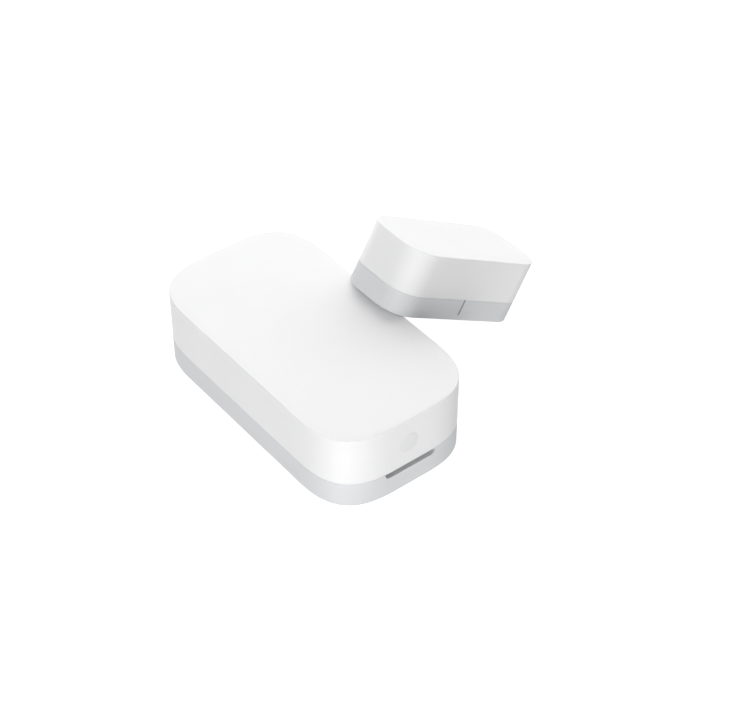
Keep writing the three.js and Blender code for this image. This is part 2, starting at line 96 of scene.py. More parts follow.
# Posts, rests and ribs inside the sensor's shells.
POST_PLACES = ((16.0, 6.4), (2.2, -7.6))
POST = {"pin": 0.9, "shoulder": 1.5, "tip": 7.4, "hole": 1.0, "bite": 0.2}
CELL_REST = {"inner": 4.9, "outer": 5.6, "foot": 1.2, "edge": 0.1, "play": 0.15}
RIBS = {"from": 3, "to": 13, "places": (-3, 0, 3), "half": 0.35, "foot": 1.1, "top": 2.4}
EJECTOR_PLACES = ((-3.5, 5.8), (-3.5, -5.8), (15.5, 4.5), (15.5, -4.5))
EJECTOR_MARK = {"radius": 0.9, "depth": 0.05}

# Reset button, its hole, and where its flange starts and ends along X.
BUTTON_HOLE, BUTTON_FLANGE, BUTTON_STEM, BUTTON_PLAY = 1.42, 1.7, 0.65, 0.015
FLANGE_BACK, FLANGE_FRONT = 18.55, 19.05
HOLE_FLARE = 0.01
BUTTON_CENTRE = (button_low + button_high) / 2

# Circuit board, and what holds the cell under it.
BOARD_INSET = 1.7
NOTCH = {"x": 17.9, "half": 2.3}
CELL_CENTRE = (can_low + can_high) / 2
HOLDER = {"bore": 8.15, "outer": 8.75, "window": 5.0, "ceiling": 7.45}
HOLDER_GAPS = {"contact_x": 6, "contact_half": 2.2, "finger_x": 7, "finger_half": 3}
SOLDER = 0.02
CONTACT = {"thick": 0.2, "bottom": 4.9, "foot": 2.4, "play": 0.08}
CELL = {"wall": 0.25, "crimp": 0.65, "gasket_outer": 0.75, "gasket_inner": 1.05, "cap": 1.1}
REED = {"radius": 0.9, "bore": 0.62, "neck": 0.38}
LEAD = {"thick": 0.16, "width": 0.34, "overlap": 0.7, "bend": 0.9, "foot": 1.0, "lift": 0.15}

# Magnet unit, measured in its own upright frame.
MAGNET_SEAM, MAGNET_HEIGHT = 3.09, 9.08
MAGNET_FLOOR, MAGNET_LIP_TOP = 1.2, 4.2
MAGNET_LIP_OUTER, MAGNET_LIP_INNER = 1.35, 2.05
MAGNET_WALL, MAGNET_CEILING = 1.2, 1.1
MAGNET_TOP_EDGE = TOP_EDGE + 0.02
PAD_PROUD = 0.05
BAR = {"half_length": 8, "half_width": 2.5, "bottom": 1.3, "top": 5.3}
CRADLE = {"reach": 6, "middle": 2.9, "half": 0.25, "foot": 1, "top": 3.4}
PRESS_RIBS = {"places": (-5, 5), "half": 0.4, "reach": 3.6, "bottom": 5.4}
MAGNET_PAD = {"length": 16.0, "width": 7.6, "corner": 2.0, "power": 2.0}
MAGNET_RECESS = {"length": 16.2, "width": 7.8, "corner": 2.0, "power": 2.0}
MAGNET_PAD_DEPTH, MAGNET_RECESS_DEPTH = 0.5, 0.52

NEAR = 0.01  # how far past a recess the box that picks its faces reaches
CORNER_STEPS = 22
ARC_STEPS = 4
# How many sides circles are drawn with, by size.
VIA_ROUND, TINY_ROUND, SMALL_ROUND, MIDDLE_ROUND, BIG_ROUND = 16, 24, 32, 48, 96
SHARP = 30.0  # degrees between faces from which an edge is crisp


# ---- Mesh helpers -------------------------------------


def plan_ring(unit, inset, z):
    """A closed ring of points: the unit's plan outline moved in by inset, at height z."""
    reach = unit["corner"] - inset
    middle_x = unit["length"] / 2 - unit["corner"]
    middle_y = unit["width"] / 2 - unit["corner"]
    power = unit["power"]
    ring = []
    for quadrant, (sign_x, sign_y) in enumerate(((1, 1), (-1, 1), (-1, -1), (1, -1))):
        for step in range(CORNER_STEPS + 1):
            angle = (quadrant + step / CORNER_STEPS) * math.pi / 2
            along, across = abs(math.cos(angle)), abs(math.sin(angle))
            radius = reach / (along**power + across**power) ** (1 / power)
            x = sign_x * (middle_x + radius * along)
            y = sign_y * (middle_y + radius * across)
            ring.append((x, y, z))
    return ring


def rounded(corners):
    """Points of an open line through (u, v, radius) corners, with each corner rounded."""
    points = [corners[0][:2]]
    for before, corner, after in zip(corners, corners[1:], corners[2:]):
        radius = corner[2]
        here = Vector(corner[:2])
        back = (Vector(before[:2]) - here).normalized()
        ahead = (Vector(after[:2]) - here).normalized()
        turn = back.angle(ahead)
        if radius <= 0 or turn > math.pi - 0.01:
            points.append(tuple(here))
            continue
        reach = radius / math.tan(turn / 2)
        centre = here + (back + ahead).normalized() * radius / math.sin(turn / 2)
        start, end = here + back * reach - centre, here + ahead * reach - centre
        for step in range(ARC_STEPS + 1):
            mixed = start.slerp(end, step / ARC_STEPS)
            points.append(tuple(centre + mixed.normalized() * radius))
    points.append(corners[-1][:2])
    return points


def skinned(rings, closed=False):
    """A bmesh with quads between rings of equal length, and its rows of vertices."""
    mesh = bmesh.new()
    rows = [[mesh.verts.new(Vector(point) * MM) for point in ring] for ring in rings]
    following = rows[1:] + rows[:1] if closed else rows[1:]
    for low, high in zip(rows, following):
        for i in range(len(low)):
            j = (i + 1) % len(low)
            mesh.faces.new((low[i], low[j], high[j], high[i]))
    return mesh, rows


def loft_mesh(rings):
    """A closed bmesh through rings of equal length, with a flat cap at each end."""
    mesh, rows = skinned(rings)
    mesh.faces.new(list(reversed(rows[0])))
    mesh.faces.new(rows[-1])
    return mesh


def shell_mesh(unit, corners):
    """The plan outline swept along a line of (inset, height, radius) corners."""
    return loft_mesh([plan_ring(unit, inset, z) for inset, z in rounded(corners)])


def circle_ring(radius, z, sides):
    """A ring of points round the Z axis."""
    step = 2 * math.pi / sides
    return [(radius * math.cos(i * step), radius * math.sin(i * step), z) for i in range(sides)]


def turned_mesh(corners, sides=64):
    """A shape of revolution about Z from (radius, height, rounding) corners."""
    tiny = 1e-4
    rings = [circle_ring(max(radius, tiny), z, sides) for radius, z in rounded(corners)]
    return loft_mesh(rings)


def ring_mesh(corners, sides=64):
    """A ring about Z: a closed line of (radius, height) corners turned once round."""
    rings = [circle_ring(radius, z, sides) for radius, z in corners]
    mesh, _ = skinned(rings, closed=True)
    bmesh.ops.recalc_face_normals(mesh, faces=mesh.faces)
    return mesh


def soft_box(low, high, edge, segments=2):
    """A box between two corners with its edges rounded."""
    mesh = bmesh.new()
    bmesh.ops.create_cube(mesh, size=1)
    low, high = Vector(low), Vector(high)
    for vert in mesh.verts:
        vert.co = Vector((low[k] + (high[k] - low[k]) * (vert.co[k] + 0.5)) * MM for k in range(3))
    if edge:
        bmesh.ops.bevel(
            mesh, geom=mesh.edges[:], offset=edge * MM, segments=segments, profile=0.5, affect="EDGES"
        )
    return mesh


def outline_mesh(points, depth):
    """An (x, y) outline extruded up by depth from z = 0."""
    return loft_mesh([[(x, y, z) for x, y in points] for z in (0, depth)])


LAY_ALONG_X = Matrix(((0, 0, 1, 0), (1, 0, 0, 0), (0, 1, 0, 0), (0, 0, 0, 1)))
STAND_UP = Matrix(((1, 0, 0, 0), (0, 0, -1, 0), (0, 1, 0, 0), (0, 0, 0, 1)))


def moved(mesh, matrix=None, x=0.0, y=0.0, z=0.0):
    """The bmesh after a turn and then a shift in millimetres."""
    place = Matrix.Translation(Vector((x, y, z)) * MM)
    mesh.transform(place @ matrix if matrix else place)
    return mesh


def object_of(name, mesh):
    """A Blender object that holds the bmesh."""
    data = bpy.data.meshes.new(name)
    bmesh.ops.recalc_face_normals(mesh, faces=mesh.faces)
    mesh.to_mesh(data)
    mesh.free()
    made = bpy.data.objects.new(name, data)
    bpy.context.scene.collection.objects.link(made)
    return made


def mesh_of(made):
    """The object's mesh as a bmesh; the object itself is removed."""
    mesh = bmesh.new()
    mesh.from_mesh(made.data)
    bpy.data.objects.remove(made)
    return mesh


def boolean(whole, mesh, operation):
    """Cuts, joins or intersects the object with a bmesh, and keeps the result as its mesh."""
    tool = object_of("tool", mesh)
    step = whole.modifiers.new("step", "BOOLEAN")
    step.operation, step.solver, step.object = operation, "EXACT", tool
    evaluated = whole.evaluated_get(bpy.context.evaluated_depsgraph_get())
    result = bpy.data.meshes.new_from_object(evaluated)
    whole.modifiers.clear()
    spent = whole.data
    whole.data = result
    bpy.data.meshes.remove(spent)
    bpy.data.objects.remove(tool)
    return whole


def cut(whole, mesh):
    return boolean(whole, mesh, "DIFFERENCE")


def join(whole, mesh):
    return boolean(whole, mesh, "UNION")


def piece(made, body, nodes, material, more=()):
    """Finishes a piece: smooth shading with crisp edges, its materials, body and CAD nodes."""
    for face in made.data.polygons:
        face.use_smooth = True
    made.data.set_sharp_from_angle(angle=math.radians(SHARP))
    for look in (material, *more):
        made.data.materials.append(look)
    weighted = made.modifiers.new("weighted", "WEIGHTED_NORMAL")
    weighted.keep_sharp = True
    made.name = f"{nodes[0]}_detail"
    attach(made, body)
    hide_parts(*nodes)
    return made


def paint_recess_shade(made, low, high):
    """Gives the faces whose middle lies in a box, in millimetres, the piece's second material, the
    darker grey that paints shade there.
    """
    for face in made.data.polygons:
        if all(low[k] < face.center[k] / MM < high[k] for k in range(3)):
            face.material_index = 1


def add_metal(made, shapes, metal):
    """Adds bmesh shapes to a finished piece, in a second material."""
    whole = bmesh.new()
    whole.from_mesh(made.data)
    first = len(whole.faces)
    for shape in shapes:
        extra = bpy.data.meshes.new("extra")
        shape.to_mesh(extra)
        shape.free()
        whole.from_mesh(extra)
        bpy.data.meshes.remove(extra)
    whole.to_mesh(made.data)
    whole.free()
    made.data.materials.append(metal)
    for face in made.data.polygons[first:]:
        face.material_index = len(made.data.materials) - 1
        face.use_smooth = True
    made.data.set_sharp_from_angle(angle=math.radians(SHARP))


# ---- Materials ----------------------------------------


class Nodes:
    """A material under construction: short calls for the nodes it needs."""

    def __init__(self, name):
        self.material = bpy.data.materials.new(name)
        self.material.use_nodes = True
        self.tree = self.material.node_tree
        self.shader = self.tree.nodes["Principled BSDF"]
        self.place = self.tree.nodes.new("ShaderNodeTexCoord").outputs["Object"]

    def link(self, output, target):
        self.tree.links.new(output, target)

    def noise(self, scale, detail=3.0, stretch=None):
        """Noise over the object's own place; scale is in features per metre."""
        node = self.tree.nodes.new("ShaderNodeTexNoise")
        node.inputs["Scale"].default_value = scale
        node.inputs["Detail"].default_value = detail
        place = self.place
        if stretch:
            mapping = self.tree.nodes.new("ShaderNodeMapping")
            mapping.inputs["Scale"].default_value = stretch
            self.link(place, mapping.inputs["Vector"])
            place = mapping.outputs["Vector"]
        self.link(place, node.inputs["Vector"])
        return node.outputs["Fac"]

    def cells(self, scale):
        """Distance to the nearest of many scattered points, for pores."""
        node = self.tree.nodes.new("ShaderNodeTexVoronoi")
        node.inputs["Scale"].default_value = scale
        self.link(self.place, node.inputs["Vector"])
        return node.outputs["Distance"]

    def ramp(self, value, low, high, start=0.3, end=0.7):
        """Maps a value to a colour between low and high."""
        node = self.tree.nodes.new("ShaderNodeValToRGB")
        node.color_ramp.elements[0].position = start
        node.color_ramp.elements[1].position = end
        node.color_ramp.elements[0].color = (*low, 1)
        node.color_ramp.elements[1].color = (*high, 1)
        self.link(value, node.inputs["Fac"])
        return node.outputs["Color"]

    def span(self, value, low, high):
        """Maps a 0 to 1 value to the range low to high."""
        node = self.tree.nodes.new("ShaderNodeMapRange")
        node.inputs["To Min"].default_value = low
        node.inputs["To Max"].default_value = high
        self.link(value, node.inputs["Value"])
        return node.outputs["Result"]

    def mix(self, factor, first, second):
        """Mixes two colours, each a plain colour or a node's output."""
        node = self.tree.nodes.new("ShaderNodeMix")
        node.data_type = "RGBA"
        self.link(factor, node.inputs["Factor"])
        for colour, socket in ((first, node.inputs["A"]), (second, node.inputs["B"])):
            if isinstance(colour, tuple):
                socket.default_value = (*colour, 1)
            else:
                self.link(colour, socket)
        return node.outputs["Result"]

    def edges(self, radius):
        """Bright where the surface bends sharply within radius, for wear and burnish."""
        node = self.tree.nodes.new("ShaderNodeBevel")
        node.samples = 4
        node.inputs["Radius"].default_value = radius * MM
        geometry = self.tree.nodes.new("ShaderNodeNewGeometry")
        dot = self.tree.nodes.new("ShaderNodeVectorMath")
        dot.operation = "DOT_PRODUCT"
        self.link(node.outputs["Normal"], dot.inputs[0])
        self.link(geometry.outputs["Normal"], dot.inputs[1])
        spread = self.tree.nodes.new("ShaderNodeMapRange")
        spread.inputs["From Min"].default_value = 1.0
        spread.inputs["From Max"].default_value = 0.85
        self.link(dot.outputs["Value"], spread.inputs["Value"])
        return spread.outputs["Result"]

    def bump(self, *layers):
        """Stacks bump layers, each (height, strength, distance in millimetres)."""
        normal = None
        for height, strength, distance in layers:
            node = self.tree.nodes.new("ShaderNodeBump")
            node.inputs["Strength"].default_value = strength
            node.inputs["Distance"].default_value = distance * MM
            self.link(height, node.inputs["Height"])
            if normal:
                self.link(normal, node.inputs["Normal"])
            normal = node.outputs["Normal"]
        self.link(normal, self.shader.inputs["Normal"])

    def set(self, **values):
        """Sets the shader's own sockets; an underscore stands for a space in a name."""
        for name, value in values.items():
            self.shader.inputs[name.replace("_", " ")].default_value = value


def moulded_plastic(name, colour, shade, roughness, subsurface=0.0):
    """Spark-textured injection-moulded plastic with faint flow marks and burnished edges."""
    made = Nodes(name)
    flow = made.ramp(made.noise(90, 4.0, (1, 1, 0.35)), shade, colour, 0.25, 0.6)
    worn = tuple(min(1.0, channel * 1.03) for channel in colour)
    made.link(made.mix(made.edges(0.12), flow, worn), made.shader.inputs["Base Color"])
    grain = made.noise(9000, 2.0)
    sheen = made.span(made.noise(1400), roughness - 0.04, roughness + 0.05)
    made.link(sheen, made.shader.inputs["Roughness"])
    made.bump((grain, 0.25, 0.006), (made.noise(700, 2.0), 0.12, 0.01))
    made.set(IOR=1.47)
    if subsurface:
        made.set(Subsurface_Weight=subsurface, Subsurface_Scale=0.4 * MM)
        made.shader.inputs["Subsurface Radius"].default_value = (1.0, 0.9, 0.8)
    return made.material


def foam_tape():
    """Closed-cell foam with a smooth adhesive skin, its pore pits painted darker as shade."""
    made = Nodes("foam_tape")
    pores = made.cells(5200)
    # Darker where the pores dip: painted shade in the pits.
    shade = made.ramp(pores, (0.6, 0.61, 0.63), (0.8, 0.81, 0.82), 0.1, 0.6)
    made.link(shade, made.shader.inputs["Base Color"])
    made.bump((pores, 0.6, 0.05))
    made.set(Roughness=0.85)
    return made.material


def board_laminate():
    """Green solder mask over a pattern of tracks, with pale laminate on the cut edge."""
    made = Nodes("board_laminate")
    bricks = made.tree.nodes.new("ShaderNodeTexBrick")
    bricks.inputs["Scale"].default_value = 620
    bricks.inputs["Mortar Size"].default_value = 0.09
    bricks.inputs["Mortar Smooth"].default_value = 0.4
    bricks.offset_frequency = 3
    made.link(made.place, bricks.inputs["Vector"])
    tracks = bricks.outputs["Fac"]
    mask = made.mix(tracks, (0.008, 0.09, 0.04), (0.012, 0.16, 0.07))
    geometry = made.tree.nodes.new("ShaderNodeNewGeometry")
    split = made.tree.nodes.new("ShaderNodeSeparateXYZ")
    made.link(geometry.outputs["Normal"], split.inputs["Vector"])
    flat = made.tree.nodes.new("ShaderNodeMath")
    flat.operation = "ABSOLUTE"
    made.link(split.outputs["Z"], flat.inputs[0])
    laminate = (0.45, 0.42, 0.22)
    made.link(made.mix(flat.outputs["Value"], laminate, mask), made.shader.inputs["Base Color"])
    made.link(made.span(made.noise(900), 0.22, 0.34), made.shader.inputs["Roughness"])
    made.bump((tracks, 0.35, 0.03), (made.noise(4000), 0.1, 0.01))
    return made.material


def metal(name, colour, roughness):
    """Rolled or plated metal with fine drawn lines and faint staining."""
    made = Nodes(name)
    stained = tuple(channel * 0.82 for channel in colour)
    made.link(made.ramp(made.noise(320, 4.0), stained, colour), made.shader.inputs["Base Color"])
    lines = made.noise(2600, 2.0, (1, 1, 30))
    made.link(made.span(lines, roughness * 0.75, roughness * 1.4), made.shader.inputs["Roughness"])
    made.bump((lines, 0.15, 0.01))
    made.set(Metallic=1.0)
    return made.material


def chip_package(name, colour, roughness):
    """Moulded or fired package with a fine grain."""
    made = Nodes(name)
    light = tuple(min(1.0, channel * 1.25 + 0.01) for channel in colour)
    made.link(made.ramp(made.noise(2600, 4.0), colour, light), made.shader.inputs["Base Color"])
    made.bump((made.noise(9000, 2.0), 0.3, 0.01))
    sheen = made.span(made.noise(1500), roughness - 0.05, roughness + 0.08)
    made.link(sheen, made.shader.inputs["Roughness"])
    return made.material


def clear_glass():
    """Drawn glass with a faint green body and slight waviness."""
    made = Nodes("clear_glass")
    tint = made.ramp(made.noise(500), (0.86, 0.95, 0.9), (0.93, 0.98, 0.95))
    made.link(tint, made.shader.inputs["Base Color"])
    made.bump((made.noise(600, 1.0, (0.2, 1, 1)), 0.1, 0.02))
    made.set(Roughness=0.03, IOR=1.5, Transmission_Weight=0.92)
    return made.material


WHITE = moulded_plastic("white_plastic", (0.90, 0.90, 0.905), (0.885, 0.885, 0.892), 0.42, 0.08)
# The grey shells' plastic deep in the pry slot and the marks, in a darker grey that is painted shade of
# those recesses.
PAINTED_RECESS_SHADE = moulded_plastic("grey_plastic_painted_shade", (0.52, 0.526, 0.536), (0.51, 0.516, 0.526), 0.6)
GREY = moulded_plastic("grey_plastic", (0.716, 0.725, 0.741), (0.700, 0.709, 0.725), 0.46, 0.04)
BUTTON = moulded_plastic("button_plastic", (0.85, 0.85, 0.855), (0.835, 0.835, 0.842), 0.4, 0.08)
BLACK = moulded_plastic("black_plastic", (0.022, 0.023, 0.025), (0.015, 0.015, 0.017), 0.5)
FOAM = foam_tape()
BOARD = board_laminate()
STEEL = metal("bright_steel", (0.62, 0.62, 0.61), 0.24)
GOLD = metal("gold_plate", (0.83, 0.62, 0.27), 0.28)
NICKEL = metal("nickel_plate", (0.6, 0.59, 0.56), 0.2)
GLASS = clear_glass()
CHIP = chip_package("dark_chip", (0.018, 0.019, 0.021), 0.5)
WHITE_CERAMIC = chip_package("white_ceramic", (0.74, 0.72, 0.66), 0.4)
TAN_CERAMIC = chip_package("tan_ceramic", (0.36, 0.23, 0.12), 0.45)


# ---- Sensor unit: shells ------------------------------


def finger_block(x, play, low, high):
    """An upright block over one snap finger's place, across both long sides."""
    half = FINGER_WIDTH / 2 + play
    reach = SENSOR["width"]
    return soft_box((x - half, -reach, low), (x + half, reach, high), 0)


def front_cover():
    """White upper shell with finger catches, the button's hole and the board's two posts."""
    seam = cover_low.z
    ceiling = cover_high.z - COVER_CEILING
    corners = [
        (COVER_WALL + 1.2, ceiling, 0), (COVER_WALL, ceiling, 0.4), (COVER_WALL, seam, 0.08),
        (0, seam, SEAM_EDGE), (0, cover_high.z, TOP_EDGE), (0.8, cover_high.z, 0),
    ]
    made = object_of("front_cover", shell_mesh(SENSOR, corners))
    for x in FINGER_PLACES:
        catch = object_of("catch", shell_mesh(SENSOR, [
            (CATCH_INSET, BEAD["low"] - CATCH_PLAY, 0),
            (CATCH_INSET, BEAD["high"] + CATCH_PLAY, 0),
        ]))
        boolean(catch, finger_block(x, CATCH_PLAY, 0, cover_high.z), "INTERSECT")
        cut(made, mesh_of(catch))
    past_wall = -3
    hole = turned_mesh([
        (0, past_wall, 0), (BUTTON_HOLE, past_wall, 0), (BUTTON_HOLE, -HOLE_FLARE, 0),
        (BUTTON_HOLE + 2 * HOLE_FLARE, HOLE_FLARE, 0), (0, HOLE_FLARE, 0),
    ])
    cut(made, moved(hole, LAY_ALONG_X, x=cover_high.x, y=BUTTON_CENTRE.y, z=BUTTON_CENTRE.z))
    root = ceiling + POST["bite"]
    for x, y in POST_PLACES:
        post = turned_mesh([
            (0, POST["tip"], 0), (POST["pin"], POST["tip"], 0.2), (POST["pin"], board_high.z, 0),
            (POST["shoulder"], board_high.z, 0.1), (POST["shoulder"], root, 0), (0, root, 0),
        ], SMALL_ROUND)
        join(made, moved(post, x=x, y=y))
    return piece(made, "sensor_head", ["front_cover"], WHITE)


def slot_cutter():
    """The pry slot: an arch open upwards, with a small flare where it meets the end face."""
    seam = cover_low.z - SEAM_GAP

    def arch(grow, x):
        half = SLOT["width"] / 2 + grow
        low = seam - SLOT["height"] - grow
        line = rounded([
            (-half, seam + 1, 0), (-half, low, SLOT["corner"]),
            (half, low, SLOT["corner"]), (half, seam + 1, 0),
        ])
        return [(x, y + SLOT["y"], z) for y, z in line]

    face, flare = cover_high.x, SLOT["flare"]
    stations = [(0, face - SLOT["depth"]), (0, face - flare), (flare, face + 0.01), (flare, face + 1)]
    return loft_mesh([arch(grow, x) for grow, x in stations])


def mark_cutter(x, y, outwards, bottom, top):
    """A thin upright groove with slightly flared sides, cut into a side that faces +Y or -Y."""
    half, flare = MARK["width"] / 2, MARK["flare"]
    inner = y - outwards * MARK["depth"]
    outline = [
        (x - half + flare, inner), (x + half - flare, inner),
        (x + half, y + outwards * flare), (x + half, y + outwards),
        (x - half, y + outwards), (x - half, y + outwards * flare),
    ]
    return moved(outline_mesh(outline, top - bottom), z=bottom)


def snap_fingers(x):
    """Both fingers at one place along X: slices of the lip that rise and carry a bead."""
    outer, inner = LIP_OUTER + FINGER_INSET, LIP_INNER - FINGER_INSET
    line = [
        (outer, LIP_TOP - FINGER_ROOT), (outer, BEAD["low"]),
        (BEAD["inset"], BEAD["low"] + BEAD["slope"]), (BEAD["inset"], BEAD["high"] - BEAD["slope"]),
        (outer, BEAD["high"]), (outer + 0.1, base_high.z),
        (inner - 0.1, base_high.z), (inner, base_high.z - 0.1), (inner, LIP_TOP - FINGER_ROOT),
    ]
    band, _ = skinned([plan_ring(SENSOR, inset, z) for inset, z in reversed(line)], closed=True)
    fingers = object_of("fingers", band)
    boolean(fingers, finger_block(x, 0, 0, cover_high.z), "INTERSECT")
    return mesh_of(fingers)


def cell_rest():
    """The ring on the floor that backs the coin cell."""
    inner, outer, edge = CELL_REST["inner"], CELL_REST["outer"], CELL_REST["edge"]
    foot, top = CELL_REST["foot"], can_low.z - CELL_REST["play"]
    return ring_mesh([
        (inner, foot), (outer, foot), (outer, top - edge),
        (outer - edge, top), (inner + edge, top), (inner, top - edge),
    ])


def ejector_mark():
    """A shallow round dent like the ones that a mould's ejector pins leave."""
    radius, depth, above = EJECTOR_MARK["radius"], EJECTOR_MARK["depth"], 0.5
    corners = [(0, -depth, 0), (radius, -depth, 0), (radius + depth, above, 0), (0, above, 0)]
    return turned_mesh(corners, SMALL_ROUND)


def rear_cover():
    """Grey lower shell with its lip, snap fingers, pry slot, mark and pad recess."""
    seam, recess = cover_low.z - SEAM_GAP, PAD_INSET - PAD_PLAY
    corners = [
        (LIP_INNER + 1, FLOOR_TOP, 0), (LIP_INNER, FLOOR_TOP, 0.3),
        (LIP_INNER, LIP_TOP, 0.1), (LIP_OUTER, LIP_TOP, 0.15), (LIP_OUTER, seam, 0),
        (0, seam, SEAM_EDGE), (0, base_low.z, BASE_EDGE), (recess, base_low.z, 0.05),
        (recess, pad_high.z, 0), (PAD_INSET + 1, pad_high.z, 0),
    ]
    made = object_of("rear_cover", shell_mesh(SENSOR, corners))
    cut(made, slot_cutter())
    cut(made, mark_cutter(0, SENSOR["width"] / 2, 1, MARK["bottom"], seam + 0.3))
    for x in FINGER_PLACES:
        join(made, snap_fingers(x))
    join(made, moved(cell_rest(), x=CELL_CENTRE.x))
    for y in RIBS["places"]:
        low = (RIBS["from"], y - RIBS["half"], RIBS["foot"])
        high = (RIBS["to"], y + RIBS["half"], RIBS["top"])
        join(made, soft_box(low, high, 0.08))
    for x, y in EJECTOR_PLACES:
        cut(made, moved(ejector_mark(), x=x, y=y, z=FLOOR_TOP))
    face, side, below_seam = cover_high.x, SENSOR["width"] / 2, seam - NEAR
    left, right = SLOT["y"] - SLOT["width"] / 2, SLOT["y"] + SLOT["width"] / 2
    slot_low = (face - SLOT["depth"] - 0.1, left - NEAR, seam - SLOT["height"] - NEAR)
    # The pry slot's and the mark's faces take the darker grey: painted shade in those recesses.
    paint_recess_shade(made, slot_low, (face - SEAM_EDGE, right + NEAR, below_seam))
    mark_low = (-MARK["width"], side - MARK["depth"] - NEAR, MARK["bottom"] - NEAR)
    paint_recess_shade(made, mark_low, (MARK["width"], side - NEAR / 2, below_seam))
    return piece(made, "sensor_base", ["rear_cover"], GREY, [PAINTED_RECESS_SHADE])


def slab(name, unit, inset, low, high, edge):
    """A flat plate with the unit's outline, moved in by inset."""
    corners = [(inset + 1, low, 0), (inset, low, edge), (inset, high, edge), (inset + 1, high, 0)]
    return object_of(name, shell_mesh(unit, corners))


def sensor_pad():
    """Foam tape under the sensor."""
    made = slab("sensor_adhesive_pad", SENSOR, PAD_INSET, pad_low.z, pad_high.z, PAD_EDGE)
    piece(made, "sensor_base", ["sensor_adhesive_pad"], FOAM)


def reset_button():
    """Round button with a flange behind the wall and a stem that reaches the switch."""
    face, radius = button_high.x, BUTTON_HOLE - BUTTON_PLAY
    corners = [
        (0, button_low.x, 0), (BUTTON_STEM, button_low.x, 0.1), (BUTTON_STEM, FLANGE_BACK, 0),
        (BUTTON_FLANGE, FLANGE_BACK, 0.1), (BUTTON_FLANGE, FLANGE_FRONT, 0.1),
        (radius, FLANGE_FRONT, 0), (radius, face, 0.02), (0.4, face, 0), (0, face, 0),
    ]
    turned = turned_mesh(corners, BIG_ROUND)
    place = {"y": BUTTON_CENTRE.y, "z": BUTTON_CENTRE.z}
    made = object_of("reset_button", moved(turned, LAY_ALONG_X, **place))
    return piece(made, "button", ["reset_button"], BUTTON)


# ---- Sensor unit: inner parts -------------------------


TWO_ENDED = ["chip_antenna", "status_led", "power_inductor"]
TWO_ENDED += [f"capacitor_{number}" for number in range(1, 7)]
TWO_ENDED += [f"resistor_{number}" for number in range(1, 5)]


def ends_of(name, band, beyond=0.0):
    """The two boxes that cover a part's ends, each band of its length deep."""
    low, high = box_mm(name)
    size = high - low
    axis = 0 if size.x >= size.y else 1
    ends = []
    for side in (0, 1):
        end_low, end_high = low.copy(), high.copy()
        if side:
            end_low[axis] = high[axis] - band * size[axis]
            end_high[axis] += beyond
        else:
            end_high[axis] = low[axis] + band * size[axis]
            end_low[axis] -= beyond
        ends.append((end_low, end_high))
    return ends


def solder_pads():
    """Tinned pads under the two-ended parts, standing a hair above the board."""
    top = board_high.z
    pads = []
    for name in TWO_ENDED:
        for low, high in ends_of(name, 0.25, 0.22):
            low.z, high.z = top - 0.02, top + 0.03
            pads.append(soft_box(low, high, 0.01, 1))
    return pads


def vias():
    """Plated through holes: rows beside the radio chip, and test pads on the lower face."""
    top, bottom = board_high.z, board_low.z
    low, radius = bottom - 0.03, 0.5
    test_pad = [(0, low, 0), (radius, low, 0.02), (radius, bottom, 0), (0, bottom, 0)]
    shapes = []
    for x in (-0.2, 8.2):
        for row in range(5):
            corners = [(0.1, top), (0.26, top), (0.24, top + 0.025), (0.12, top + 0.025)]
            ring = ring_mesh(corners, VIA_ROUND)
            shapes.append(moved(ring, x=x, y=-1.4 + 1.1 * row))
    for x in (5.5, 8.0, 10.5):
        for y in (-4.2, 4.2):
            shapes.append(moved(turned_mesh(test_pad, TINY_ROUND), x=x, y=y))
    return shapes


def circuit_board():
    """The board, with holes for the posts and a notch that clears the button's flange."""
    made = slab("circuit_board", SENSOR, BOARD_INSET, board_low.z, board_high.z, 0.03)
    under, over, radius = board_low.z - 1, board_high.z + 1, POST["hole"]
    for x, y in POST_PLACES:
        corners = [(0, under, 0), (radius, under, 0), (radius, over, 0), (0, over, 0)]
        cut(made, moved(turned_mesh(corners, SMALL_ROUND), x=x, y=y))
    left, right = BUTTON_CENTRE.y - NOTCH["half"], BUTTON_CENTRE.y + NOTCH["half"]
    cut(made, soft_box((NOTCH["x"], left, under), (cover_high.x, right, over), 0))
    piece(made, "sensor_head", ["circuit_board"], BOARD)
    add_metal(made, solder_pads() + vias(), STEEL)


def battery_holder():
    """Ring round the cell, open where the contact and a finger nail reach in."""
    window, bore, outer = HOLDER["window"], HOLDER["bore"], HOLDER["outer"]
    rim, ceiling, top = holder_low.z, HOLDER["ceiling"], holder_high.z
    ring = ring_mesh([
        (window, ceiling), (bore, ceiling), (bore, rim + 0.15), (bore + 0.15, rim),
        (outer - 0.1, rim), (outer, rim + 0.1), (outer, top), (window, top),
    ], BIG_ROUND)
    x, far = CELL_CENTRE.x, 20
    made = object_of("battery_holder", moved(ring, x=x))
    half = HOLDER_GAPS["contact_half"]
    cut(made, soft_box((x + HOLDER_GAPS["contact_x"], -half, 0), (x + far, half, far), 0))
    half = HOLDER_GAPS["finger_half"]
    cut(made, soft_box((x - far, -half, 0), (x - HOLDER_GAPS["finger_x"], half, ceiling), 0))
    return piece(made, "sensor_head", ["battery_holder"], BLACK)


def strip(node, corners, width, y, material):
    """A bent metal strip: an X-Z outline with the CAD's corners, given width along Y."""
    made = object_of(node, moved(outline_mesh(corners, width), STAND_UP, y=y + width / 2))
    bevel = made.modifiers.new("bevel", "BEVEL")
    bevel.width = 0.03 * MM
    bevel.segments = 2
    bevel.limit_method = "ANGLE"
    return piece(made, "sensor_head", [node], material)


